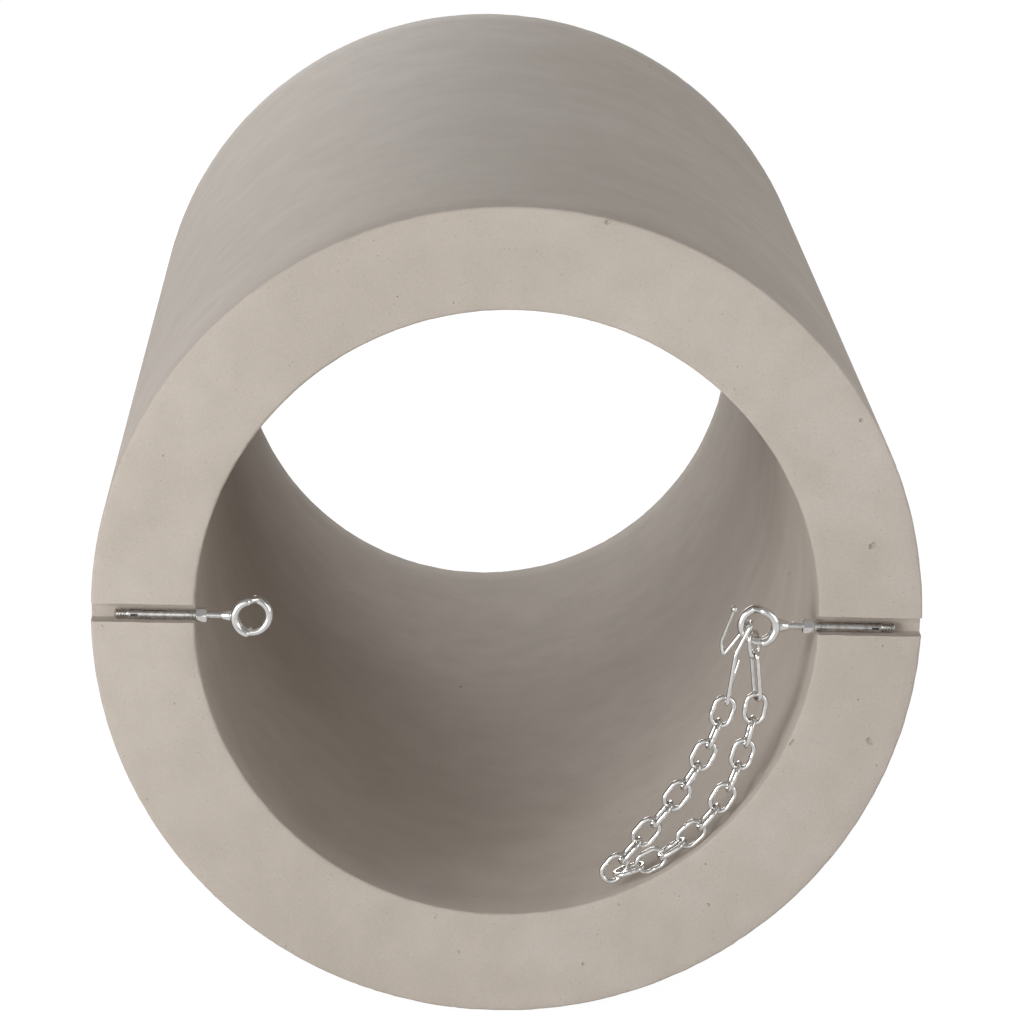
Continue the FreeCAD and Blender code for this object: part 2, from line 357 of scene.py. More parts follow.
def speckle_group() -> bpy.types.NodeTree:
    """Build the shared group that scatters soft spots of one size over a surface.

    Returns:
        A group with Vector, Scale, Amount and Softness inputs and a Mask output.
    """
    tree = bpy.data.node_groups.new("Scattered spots", "ShaderNodeTree")
    face = tree.interface
    face.new_socket("Vector", in_out="INPUT", socket_type="NodeSocketVector")
    for name, value in (("Scale", 100.0), ("Amount", 0.1), ("Softness", 0.05)):
        face.new_socket(name, in_out="INPUT", socket_type="NodeSocketFloat").default_value = value
    face.new_socket("Mask", in_out="OUTPUT", socket_type="NodeSocketFloat")
    nodes = NodeHelper(tree)
    source = nodes.add("NodeGroupInput")
    sink = nodes.add("NodeGroupOutput")
    cells = nodes.add("TexVoronoi", "spot centres")
    tree.links.new(source.outputs["Vector"], cells.inputs["Vector"])
    tree.links.new(source.outputs["Scale"], cells.inputs["Scale"])
    pick = nodes.add("SeparateColor", "one number per cell", Color=cells.outputs["Color"])
    size = nodes.maths("MULTIPLY", pick.outputs["Red"], source.outputs["Amount"])
    edge = nodes.maths("SUBTRACT", size, cells.outputs["Distance"])
    soft = nodes.maths("DIVIDE", edge, source.outputs["Softness"])
    clamp = nodes.add("Clamp", "spot mask", Value=soft)
    tree.links.new(clamp.outputs[0], sink.inputs["Mask"])
    return tree


def cloud_group() -> bpy.types.NodeTree:
    """Build the shared group of layered cloudiness, from broad patches down to fine grain.

    Returns:
        A group with Vector, Broad and Fine inputs and Patches and Grain outputs.
    """
    tree = bpy.data.node_groups.new("Cloudy grain", "ShaderNodeTree")
    face = tree.interface
    face.new_socket("Vector", in_out="INPUT", socket_type="NodeSocketVector")
    for name, value in (("Broad", 5.0), ("Fine", 400.0)):
        face.new_socket(name, in_out="INPUT", socket_type="NodeSocketFloat").default_value = value
    for name in ("Patches", "Grain"):
        face.new_socket(name, in_out="OUTPUT", socket_type="NodeSocketFloat")
    nodes = NodeHelper(tree)
    source = nodes.add("NodeGroupInput")
    sink = nodes.add("NodeGroupOutput")
    for scale_name, out_name, detail in (("Broad", "Patches", 5.0), ("Fine", "Grain", 3.0)):
        layer = nodes.add("TexNoise", out_name, Detail=detail, Roughness=0.55)
        tree.links.new(source.outputs["Vector"], layer.inputs["Vector"])
        tree.links.new(source.outputs[scale_name], layer.inputs["Scale"])
        tree.links.new(layer.outputs["Fac"], sink.inputs[out_name])
    return tree


@dataclass(frozen=True)
class Groups:
    """The shader node groups that several finishes share."""

    spots: bpy.types.NodeTree
    clouds: bpy.types.NodeTree

    def place(self, nodes: NodeHelper, group: bpy.types.NodeTree, **inputs: object) -> bpy.types.Node:
        """Put a group in a material.

        Args:
            nodes: The material's node helper.
            group: One of the shared groups.
            **inputs: Values or sockets by input name.

        Returns:
            The group node.
        """
        node = nodes.tree.nodes.new("ShaderNodeGroup")
        node.node_tree = group
        for name, value in inputs.items():
            if isinstance(value, bpy.types.NodeSocket):
                nodes.tree.links.new(value, node.inputs[name])
            else:
                node.inputs[name].default_value = value
        return node


@dataclass(frozen=True)
class ConcreteFinish:
    """Cast concrete: warm grey, cloudy, finely pored, with painted shade darkening its pinholes and pores."""

    tone: tuple[float, float, float] = (0.482, 0.428, 0.376)
    pale_tone: tuple[float, float, float] = (0.538, 0.482, 0.430)
    dark_tone: tuple[float, float, float] = (0.405, 0.355, 0.302)
    # painted shade: the near-black that stands in for the shade inside pinholes and pores
    pore_shade_tone: tuple[float, float, float] = (0.120, 0.100, 0.080)
    roughness: float = 0.86

    def build(self, groups: Groups) -> bpy.types.Material:
        """Make the material.

        Args:
            groups: Shared node groups.

        Returns:
            The concrete material.
        """
        material = bpy.data.materials.new("Cast concrete")
        material.use_nodes = True
        nodes = NodeHelper(material.node_tree)
        shader = material.node_tree.nodes["Principled BSDF"]
        place = nodes.add("TexCoord").outputs["Object"]
        broad = groups.place(nodes, groups.clouds, Vector=place, Broad=3.2, Fine=900.0)
        middle = groups.place(nodes, groups.clouds, Vector=place, Broad=22.0, Fine=160.0)
        pinholes = groups.place(nodes, groups.spots, Vector=place, Scale=210.0, Amount=0.16, Softness=0.05)
        pores = groups.place(nodes, groups.spots, Vector=place, Scale=55.0, Amount=0.07, Softness=0.02)
        patches = nodes.ramp(broad.outputs["Patches"], ((0.34, 0.0), (0.66, 1.0)))
        mottle = nodes.ramp(middle.outputs["Patches"], ((0.36, 0.0), (0.68, 1.0)))
        colour = nodes.blend(patches, (*self.tone, 1.0), (*self.pale_tone, 1.0))
        dull = nodes.maths("MULTIPLY", mottle, 0.32)
        colour = nodes.blend(dull, colour, (*self.dark_tone, 1.0))
        grain = nodes.ramp(broad.outputs["Grain"], ((0.3, 0.90), (0.7, 1.06)))
        colour = nodes.blend(0.8, colour, grain, "MULTIPLY")
        # painted shade: darken the pinholes and pores as if shade fell inside them
        pin_shade_amount = nodes.maths("MULTIPLY", pinholes.outputs["Mask"], 0.35)
        colour = nodes.blend(pin_shade_amount, colour, (*self.pore_shade_tone, 1.0))
        pore_shade_amount = nodes.maths("MULTIPLY", pores.outputs["Mask"], 0.75)
        colour = nodes.blend(pore_shade_amount, colour, (*self.pore_shade_tone, 1.0))
        nodes.tree.links.new(colour, shader.inputs["Base Color"])

        rough_stops = ((0.2, self.roughness - 0.08), (0.8, self.roughness + 0.06))
        rough = nodes.ramp(middle.outputs["Grain"], rough_stops)
        nodes.tree.links.new(rough, shader.inputs["Roughness"])
        shader.inputs["Specular IOR Level"].default_value = 0.28

        height = nodes.maths("MULTIPLY", broad.outputs["Grain"], 0.35)
        wavy = nodes.maths("MULTIPLY", middle.outputs["Patches"], 1.2)
        height = nodes.maths("ADD", height, wavy)
        holes = nodes.maths("ADD", pinholes.outputs["Mask"], pores.outputs["Mask"])
        height = nodes.maths("SUBTRACT", height, holes)
        bump = nodes.add("Bump", "surface relief", Height=height, Strength=0.35, Distance=0.6 * MM)
        nodes.tree.links.new(bump.outputs["Normal"], shader.inputs["Normal"])
        return material


@dataclass(frozen=True)
class SteelFinish:
    """Stainless steel with a tumbled polish, or dull and stained on the anchors."""

    name: str
    tone: tuple[float, float, float]
    stain: tuple[float, float, float]
    roughness: float
    stain_amount: float
    relief: float

    def build(self, groups: Groups) -> bpy.types.Material:
        """Make the material.

        Args:
            groups: Shared node groups.

        Returns:
            The steel material.
        """
        material = bpy.data.materials.new(self.name)
        material.use_nodes = True
        nodes = NodeHelper(material.node_tree)
        shader = material.node_tree.nodes["Principled BSDF"]
        place = nodes.add("TexCoord").outputs["Object"]
        clouds = groups.place(nodes, groups.clouds, Vector=place, Broad=160.0, Fine=1400.0)
        nicks = groups.place(nodes, groups.spots, Vector=place, Scale=420.0, Amount=0.22, Softness=0.06)
        stained = nodes.ramp(clouds.outputs["Patches"], ((0.46, 0.0), (0.70, 1.0)))
        amount = nodes.maths("MULTIPLY", stained, self.stain_amount)
        colour = nodes.blend(amount, (*self.tone, 1.0), (*self.stain, 1.0))
        nodes.tree.links.new(colour, shader.inputs["Base Color"])
        shader.inputs["Metallic"].default_value = 1.0
        low, high = self.roughness * 0.7, self.roughness * 1.5
        rough = nodes.ramp(clouds.outputs["Grain"], ((0.3, low), (0.75, high)))
        nodes.tree.links.new(rough, shader.inputs["Roughness"])
        height = nodes.maths("SUBTRACT", clouds.outputs["Patches"], nicks.outputs["Mask"])
        bump = nodes.add("Bump", "handling marks", Height=height, Strength=0.25, Distance=self.relief)
        nodes.tree.links.new(bump.outputs["Normal"], shader.inputs["Normal"])
        return material


@dataclass(frozen=True)
class Finishes:
    """Every material that the pieces wear."""

    concrete: bpy.types.Material
    polished: bpy.types.Material
    dull: bpy.types.Material

    @staticmethod
    def build() -> "Finishes":
        """Make the groups and then each material."""
        groups = Groups(speckle_group(), cloud_group())
        polished = SteelFinish(
            "Polished stainless steel", (0.80, 0.79, 0.77), (0.50, 0.49, 0.47), 0.13, 0.35, 0.12 * MM,
        )
        dull = SteelFinish(
            "Dull stainless steel", (0.68, 0.67, 0.65), (0.33, 0.31, 0.28), 0.26, 0.65, 0.18 * MM,
        )
        return Finishes(ConcreteFinish().build(groups), polished.build(groups), dull.build(groups))


def dress(piece: bpy.types.Object, material: bpy.types.Material, slot: str, *nodes: str) -> bpy.types.Object:
    """Give a piece its material, its body and the nodes it stands for.

    Args:
        piece: A finished mesh at the origin.
        material: Its finish.
        slot: Not used.
        *nodes: CAD nodes that it replaces.

    Returns:
        The same piece.
    """
    piece.data.materials.clear()
    piece.data.materials.append(material)
    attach(piece, BODY)
    if nodes:
        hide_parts(*nodes)
    LOG.info("%s: %d faces", piece.name, len(piece.data.polygons))
    return piece


# ------------------------------------------------------------------ concrete section


@dataclass
class CastSection:
    """The cast ring with its end grooves, worn rims and bug holes."""

    low: Vector
    high: Vector
    bore_share: float = 0.75
    rim_round: float = 3.0 * MM
    round_steps: int = 720
    length_steps: int = 26
    groove_width: float = 18.0 * MM
    groove_depth: float = 19.0 * MM
    groove_drop: float = 3.0 * MM
    seed: int = 41
    hole_count: int = 120
    hole_small: float = 0.8 * MM
    hole_spread: float = 2.2 * MM

    @property
    def radius(self) -> float:
        """Outside radius."""
        return (self.high.x - self.low.x) / 2

    @property
    def bore(self) -> float:
        """Inside radius."""
        return self.radius * self.bore_share

    @property
    def axis_height(self) -> float:
        """Height of the bore axis over the floor."""
        return (self.high.z + self.low.z) / 2

    @property
    def near(self) -> float:
        """The grooved end's place along Y."""
        return self.low.y

    @property
    def far(self) -> float:
        """The plain end's place along Y."""
        return self.high.y

    def spin_ring(self) -> bpy.types.Object:
        """Spin the wall's section about the bore axis.

        Returns:
            A closed ring, dense enough for its rims to be worn.
        """
        deselect_all()
        middle = (self.radius + self.bore) / 2
        bpy.ops.mesh.primitive_plane_add(size=1.0, location=(middle, 0.0, 0.0))
        ring = bpy.context.object
        ring.name = "manhole_section_cast"
        ring.scale = (self.radius - self.bore, self.far - self.near, 1.0)
        settle(ring)
        bpy.ops.object.mode_set(mode="EDIT")
        bpy.ops.mesh.select_all(action="SELECT")
        bpy.ops.mesh.delete(type="ONLY_FACE")
        bpy.ops.mesh.select_all(action="SELECT")
        bpy.ops.mesh.bevel(offset=self.rim_round, segments=3, affect="VERTICES")
        bpy.ops.object.mode_set(mode="OBJECT")
        for share, along in ((self.length_steps, 1), (9, 0)):
            self.split_long_edges(ring, along, share)
        bpy.ops.object.mode_set(mode="EDIT")
        bpy.ops.mesh.select_all(action="SELECT")
        part = FULL_TURN / 8
        bpy.ops.mesh.spin(steps=self.round_steps // 8, angle=part, center=(0, 0, 0), axis=(0, 1, 0))
        for doubling in range(3):
            bpy.ops.mesh.select_all(action="SELECT")
            bpy.ops.mesh.duplicate()
            bpy.ops.transform.rotate(value=part * 2 ** doubling, orient_axis="Y", center_override=(0, 0, 0))
        bpy.ops.object.mode_set(mode="OBJECT")
        finish_normals(ring)
        return ring

    @staticmethod
    def split_long_edges(ring: bpy.types.Object, axis: int, cuts: int) -> None:
        """Subdivide the profile's long edges that run along one axis.

        Args:
            ring: The profile before it is spun.
            axis: 0 for the end faces, 1 for the walls.
            cuts: Number of cuts.
        """
        select_edges(ring, axis, 20 * MM)
        bpy.ops.object.mode_set(mode="EDIT")
        bpy.ops.mesh.subdivide(number_cuts=cuts)
        bpy.ops.object.mode_set(mode="OBJECT")

    def wear_rims(self, ring: bpy.types.Object) -> None:
        """Let the rims wander inwards a little, as they come out of a mould.

        Args:
            ring: The ring about the origin's Y axis.
        """
        half = (self.far - self.near) / 2
        reach = 2.2 * self.rim_round
        for vertex in ring.data.vertices:
            place = vertex.co
            out = math.hypot(place.x, place.z)
            from_end = half - abs(place.y)
            from_wall = min(self.radius - out, out - self.bore)
            if from_end > reach or from_wall > reach:
                continue
            near_edge = 1.0 - max(from_end, from_wall) / reach
            rough = noise.noise(place * 60.0) * 0.6 + noise.noise(place * 190.0) * 0.4
            inwards = near_edge * max(0.0, rough + 0.1) * 1.3 * MM
            centre = Vector((place.x, 0.0, place.z)).normalized() * (self.radius + self.bore) / 2
            target = Vector((centre.x, math.copysign(half - 40 * MM, place.y), centre.z))
            vertex.co += (target - place).normalized() * inwards

    def groove_cutter(self, side: Side) -> bpy.types.Object:
        """Make the bar that cuts one groove, with slightly wandering sides.

        Args:
            side: Which groove it cuts.

        Returns:
            The cutter, already in place.
        """
        deselect_all()
        bpy.ops.mesh.primitive_cube_add(size=1.0)
        bar = bpy.context.object
        over = 10 * MM
        bar.scale = (self.radius - self.bore + 2 * over, self.groove_depth + over, self.groove_width)
        bar.location = (
            side.value * (self.radius + self.bore) / 2,
            self.near + (self.groove_depth - over) / 2,
            self.axis_height - self.groove_drop,
        )
        settle(bar)
        bpy.ops.object.mode_set(mode="EDIT")
        bpy.ops.mesh.select_all(action="SELECT")
        bpy.ops.mesh.bevel(offset=1.4 * MM, segments=2)
        bpy.ops.object.mode_set(mode="OBJECT")
        select_edges(bar, 0, (self.radius - self.bore) / 2)
        bpy.ops.object.mode_set(mode="EDIT")
        bpy.ops.mesh.subdivide(number_cuts=48)
        bpy.ops.object.mode_set(mode="OBJECT")
        for vertex in bar.data.vertices:
            lift = 1.0 if vertex.co.z > self.axis_height - self.groove_drop else -1.6
            vertex.co.z += lift * 0.45 * MM * noise.noise(vertex.co * 90.0)
        return bar

    def bug_holes(self) -> bpy.types.Object:
        """Scatter small lumps over the surfaces, to be cut out as air holes.

        Returns:
            All the lumps as one mesh.
        """
        draw = random.Random(self.seed)
        lumps = []
        for number in range(self.hole_count):
            turn = draw.uniform(0.0, FULL_TURN)
            radial = Vector((math.sin(turn), 0.0, math.cos(turn)))
            size = self.hole_small + self.hole_spread * draw.random() ** 5
            kind = number % 4
            if kind == 0:
                out, along, facing = draw.uniform(self.bore, self.radius), self.near, Vector((0, -1, 0))
            elif kind == 1:
                out, along, facing = draw.uniform(self.bore, self.radius), self.far, Vector((0, 1, 0))
            elif kind == 2:
                out, along, facing = self.radius, draw.uniform(self.near, self.far), radial
            else:
                out, along, facing = self.bore, draw.uniform(self.near, self.far), -radial
            place = radial * out + Vector((0.0, along, self.axis_height))
            lumps.append(self.lump(draw, place, size, draw.uniform(1.0, 1.8), facing))
        return join("bug_holes", lumps)

    @staticmethod
    def lump(
        draw: random.Random,
        place: Vector,
        size: float,
        stretch: float,
        facing: Vector,
    ) -> bpy.types.Object:
        """One uneven lump the size of an air hole.

        Args:
            draw: Seeded random numbers.
            place: Where the hole opens.
            size: Its radius.
            stretch: How much longer than wide it is.
            facing: Outward direction of the surface.

        Returns:
            The lump, in place.
        """
        deselect_all()
        bpy.ops.mesh.primitive_ico_sphere_add(subdivisions=2, radius=size)
        lump = bpy.context.object
        for vertex in lump.data.vertices:
            vertex.co *= 1.0 + 0.28 * draw.uniform(-1.0, 1.0)
        turn = facing.to_track_quat("Z", "Y").to_matrix().to_4x4()
        spin = Matrix.Rotation(draw.uniform(0.0, math.pi), 4, "Z")
        scale = Matrix.Diagonal((stretch, 1.0, 0.75, 1.0))
        return settle(lump, Matrix.Translation(place - facing * size * 0.15) @ turn @ spin @ scale)

    def build(self, finishes: Finishes) -> None:
        """Make the ring and dress it.

        Args:
            finishes: The materials.
        """
        ring = self.spin_ring()
        self.wear_rims(ring)
        middle = (self.near + self.far) / 2
        settle(ring, Matrix.Translation((0.0, middle, self.axis_height)))
        for side in Side:
            combine(ring, self.groove_cutter(side), "DIFFERENCE")
        LOG.info("grooves cut")
        combine(ring, self.bug_holes(), "DIFFERENCE")
        LOG.info("air holes cut")
        finish_normals(ring, 0.01 * MM)
        smooth(ring, 30.0)
        ring.name = "manhole_section_cast"
        dress(ring, finishes.concrete, "concrete", "manhole_section")


# ------------------------------------------------------------------ anchors


@dataclass
class EyeAnchor:
    """A sleeve anchor: eye bolt, nut, washer, sleeve and cone, laid in a groove."""

    side: Side
    eye_bar: float = 8.2 * MM
    eye_radius: float = 16.4 * MM
    turn_gap: float = 0.2 * MM
    knee_clock: float = 270.0
    tail_clock: float = 445.0
    thread_pitch: float = 2.5 * MM
    shank_radius: float = 4.0 * MM
    neck_length: float = 14.0 * MM
    nut_flats: float = 13.0 * MM
    window_start: float = 45.0 * MM
    window_length: float = 7.0 * MM
    window_width: float = 3.4 * MM
    thin_radius: float = 1.3 * MM

    def node(self, part: str) -> str:
        """The CAD node's name of one of the anchor's parts."""
        return "%s_%s" % (self.side.prefix, part)

    def span(self, part: str) -> tuple[float, float]:
        """How far a node reaches outwards, from its inner end to its outer end."""
        low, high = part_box(self.node(part))
        ends = sorted((low[0] * self.side.value, high[0] * self.side.value))
        return ends[0], ends[1]

    def centre(self) -> Vector:
        """Centre of the eye's rear turn."""
        low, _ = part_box(self.node("eye_bolt"))
        inner, _ = self.span("eye_bolt")
        sleeve_low, sleeve_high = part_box(self.node("sleeve"))
        axis_y = (sleeve_low[1] + sleeve_high[1]) / 2
        axis_z = (sleeve_low[2] + sleeve_high[2]) / 2
        out = inner + self.eye_radius + self.eye_bar / 2
        return Vector((self.side.value * out, axis_y, axis_z))

    def along(self, start: float) -> Matrix:
        """Place whose X axis runs outwards from a distance `start` along the anchor's axis."""
        centre = self.centre()
        turn = Matrix.Rotation(math.pi if self.side is Side.LEFT else 0.0, 4, "Z")
        return Matrix.Translation((self.side.value * start, centre.y, centre.z)) @ turn

    def eye_point(self, clock: float, step: float) -> Vector:
        """Point on the eye's centreline.

        Args:
            clock: Degrees round the eye, from the neck downwards.
            step: How far forward of the rear turn.

        Returns:
            The point, measured from the centre of the rear turn.
        """
        angle = math.radians(clock)
        across = self.side.value * self.eye_radius * math.cos(angle)
        return Vector((across, -step, -self.eye_radius * math.sin(angle)))

    def eye(self) -> bpy.types.Object:
        """The pigtail eye: one bar that turns once, steps forward and turns half again."""
        centre = self.centre()
        points, radii = [], []
        clock = -6.0
        spread = 22.0
        while clock <= self.tail_clock:
            share = min(max((clock - self.knee_clock + spread) / (2 * spread), 0.0), 1.0)
            step = (self.eye_bar + self.turn_gap) * share * share * (3 - 2 * share)
            points.append(centre + self.eye_point(clock, step))
            left = (self.tail_clock - clock) / 14.0
            radii.append(self.eye_bar / 2 * min(1.0, math.sqrt(max(0.02, 1 - (1 - min(left, 1.0)) ** 2))))
            clock += 4.0
        return bar_along(self.node("eye"), points, radii, 5)

    def shank(self) -> bpy.types.Object:
        """The flared neck and the threaded shank, turned in one piece."""
        inner, _ = self.span("eye_bolt")
        centre_out = inner + self.eye_radius + self.eye_bar / 2
        start = centre_out + 16.0 * MM
        _, end = self.span("eye_bolt")
        radius = self.shank_radius
        outline = [
            (0.0, 0.0), (0.0, 6.4 * MM), (1.0 * MM, 6.8 * MM), (5.0 * MM, 6.5 * MM), (8.0 * MM, 5.8 * MM),
            (11.0 * MM, 5.0 * MM), (self.neck_length - 1.2 * MM, 4.6 * MM), (self.neck_length, radius * 0.86),
        ]
        place = self.neck_length
        sleeve_inner, _ = self.span("sleeve")
        thread_end = sleeve_inner - start + 5 * MM
        while place + self.thread_pitch < thread_end:
            pitch = self.thread_pitch
            outline += [
                (place + 0.16 * pitch, radius * 0.86), (place + 0.40 * pitch, radius),
                (place + 0.64 * pitch, radius), (place + 0.88 * pitch, radius * 0.86),
            ]
            place += pitch
        thin_start = sleeve_inner - start + self.window_start - 2 * MM
        thin_end = thin_start + self.window_length + 4 * MM
        outline += [(thread_end, radius * 0.9), (thin_start, radius * 0.9)]
        outline += [(thin_start + 1 * MM, self.thin_radius)]
        outline += [(thin_end - 1 * MM, self.thin_radius), (thin_end, radius * 0.9)]
        outline += [(end - start, radius * 0.8), (end - start, 0.0)]
        bar = turned(self.node("shank"), outline, 32)
        return settle(bar, self.along(start))

    def nut(self) -> bpy.types.Object:
        """Hexagon nut with turned corners."""
        inner, outer = self.span("nut")
        length = outer - inner
        deselect_all()
        bpy.ops.mesh.primitive_cylinder_add(vertices=6, radius=self.nut_flats / math.sqrt(3), depth=length)
        nut = bpy.context.object
        settle(nut, Matrix.Translation((length / 2, 0, 0)) @ Matrix.Rotation(math.pi / 2, 4, "Y"))
        reach = self.nut_flats * 0.56
        chamfer = self.nut_flats * 0.49
        outline = [
            (0.0, 0.0), (0.0, chamfer), (1.1 * MM, reach * 1.04), (length - 1.1 * MM, reach * 1.04),
            (length, chamfer), (length, 0.0),
        ]
        combine(nut, turned("nut_corners", outline, 64), "INTERSECT")
        bevel = nut.modifiers.new("edge", "BEVEL")
        bevel.width = 0.25 * MM
        bevel.segments = 2
        bevel.limit_method = "ANGLE"
        bevel.angle_limit = math.radians(25)
        apply_modifiers(nut)
        finish_normals(nut)
        return settle(nut, self.along(inner))

    def washer(self) -> bpy.types.Object:
        """Washer and spacer ring as one turned piece with a groove between them."""
        inner, outer = self.span("washer")
        length = outer - inner
        radius = 5.1 * MM
        hole = self.shank_radius + 0.1 * MM
        outline = [
            (0.0, hole), (0.0, radius - 0.3 * MM), (0.3 * MM, radius),
            (2.2 * MM, radius), (2.5 * MM, radius - 0.3 * MM),
            (2.6 * MM, radius - 0.9 * MM), (3.0 * MM, radius - 0.9 * MM), (3.2 * MM, radius - 0.2 * MM),
            (6.2 * MM, radius - 0.2 * MM), (6.4 * MM, radius - 0.8 * MM), (6.8 * MM, radius - 0.8 * MM),
            (7.0 * MM, radius - 0.3 * MM), (length, radius - 0.3 * MM), (length, hole), (0.0, hole),
        ]
        return settle(turned(self.node("washer_ring"), outline, 48), self.along(inner))

    def sleeve(self) -> bpy.types.Object:
        """Rolled sleeve with its long split and window."""
        inner, outer = self.span("sleeve")
        length = outer - inner
        radius = 4.9 * MM
        hole = self.shank_radius + 0.1 * MM
        outline = [
            (0.0, hole), (0.0, radius - 0.3 * MM), (0.3 * MM, radius), (length - 0.3 * MM, radius),
            (length, radius - 0.3 * MM), (length, hole), (0.0, hole),
        ]
        tube = turned(self.node("sleeve_tube"), outline, 64)
        for start, reach, width, turn in (
            (self.window_start, self.window_length, self.window_width, 0.0),
            (18.0 * MM, length, 0.7 * MM, 62.0),
            (18.0 * MM, length, 0.7 * MM, -58.0),
            (18.0 * MM, length, 0.7 * MM, 180.0),
        ):
            deselect_all()
            bpy.ops.mesh.primitive_cube_add(size=1.0)
            slot = bpy.context.object
            slot.dimensions = (reach, 6 * MM, width)
            slot.location = (start + reach / 2, -radius, 0.0)
            settle(slot)
            settle(slot, Matrix.Rotation(math.radians(turn * self.side.value), 4, "X"))
            if self.side is Side.LEFT:
                settle(slot, Matrix.Rotation(math.pi, 4, "X"))
            combine(tube, slot, "DIFFERENCE")
        finish_normals(tube)
        return settle(tube, self.along(inner))

    def cone(self) -> bpy.types.Object:
        """Ribbed cone at the anchor's tip."""
        inner, outer = self.span("cone")
        length = outer - inner
        outline = [(0.0, 0.0), (0.0, 3.9 * MM)]
        ribs = 4
        for rib in range(ribs):
            start = length * (0.12 + 0.84 * rib / ribs)
            width = length * 0.84 / ribs
            crest = (4.4 + 0.18 * rib) * MM
            outline += [(start, crest - 0.9 * MM), (start + 0.25 * width, crest)]
            outline += [(start + 0.7 * width, crest)]
            outline += [(start + 0.92 * width, crest - 0.9 * MM)]
        outline += [(length, 3.2 * MM), (length, 0.0)]
        return settle(turned(self.node("cone_ribs"), outline, 48), self.along(inner))

    def build(self, finishes: Finishes) -> None:
        """Make and dress every part of the anchor."""
        bolt = join(self.node("eye_bolt_bar"), [self.eye(), self.shank()])
        smooth(bolt, 40.0)
        dress(bolt, finishes.polished, "stainless", self.node("eye_bolt"))
        for part, piece, material in (
            ("nut", self.nut(), finishes.polished),
            ("washer", self.washer(), finishes.dull),
            ("sleeve", self.sleeve(), finishes.dull),
            ("cone", self.cone(), finishes.dull),
        ):
            piece.name = self.node(part) + "_turned"
            smooth(piece, 32.0)
            dress(piece, material, "stainless", self.node(part))


# ------------------------------------------------------------------ chain


@dataclass
class LinkShape:
    """Sizes of one kind of link, as bent from round bar."""

    rod: float
    inner_length: float
    width: float
    weld: bool = True

    def bend(self, name: str) -> bpy.types.Object:
        """Bend a bar into a link in the XY plane, long way on X.

        Args:
            name: The new object's name.

        Returns:
            The link about its own centre.
        """
        half = (self.inner_length + 2 * self.rod - self.width) / 2
        bow = (self.width - self.rod) / 2
        deselect_all()
        bpy.ops.mesh.primitive_circle_add(
            vertices=20, radius=self.rod / 2, location=(half, bow, 0), rotation=(0, math.pi / 2, 0),
        )
        link = bpy.context.object
        link.name = name
        settle(link)
        bpy.ops.object.mode_set(mode="EDIT")
        bpy.ops.mesh.select_all(action="SELECT")
        bpy.ops.mesh.spin(steps=18, angle=math.pi, center=(half, 0, 0), axis=(0, 0, 1))
        bpy.ops.mesh.extrude_region_move(TRANSFORM_OT_translate={"value": (-2 * half, 0, 0)})
        bpy.ops.mesh.spin(steps=18, angle=math.pi, center=(-half, 0, 0), axis=(0, 0, 1))
        rows = 8 if self.weld else 1
        for row in range(rows):
            bpy.ops.mesh.extrude_region_move(TRANSFORM_OT_translate={"value": (2 * half / rows, 0, 0)})
        bpy.ops.object.mode_set(mode="OBJECT")
        finish_normals(link, 0.05 * MM)
        if self.weld:
            self.swell(link, bow, half)
        return link

    def swell(self, link: bpy.types.Object, bow: float, half: float) -> None:
        """Raise the flash of the weld in the middle of one leg."""
        for vertex in link.data.vertices:
            if vertex.co.y < bow / 2 or abs(vertex.co.x) > half * 0.9:
                continue
            rise = 1.0 + 0.14 * math.exp(-((vertex.co.x / (0.28 * half)) ** 2))
            vertex.co.y = bow + (vertex.co.y - bow) * rise
            vertex.co.z *= rise


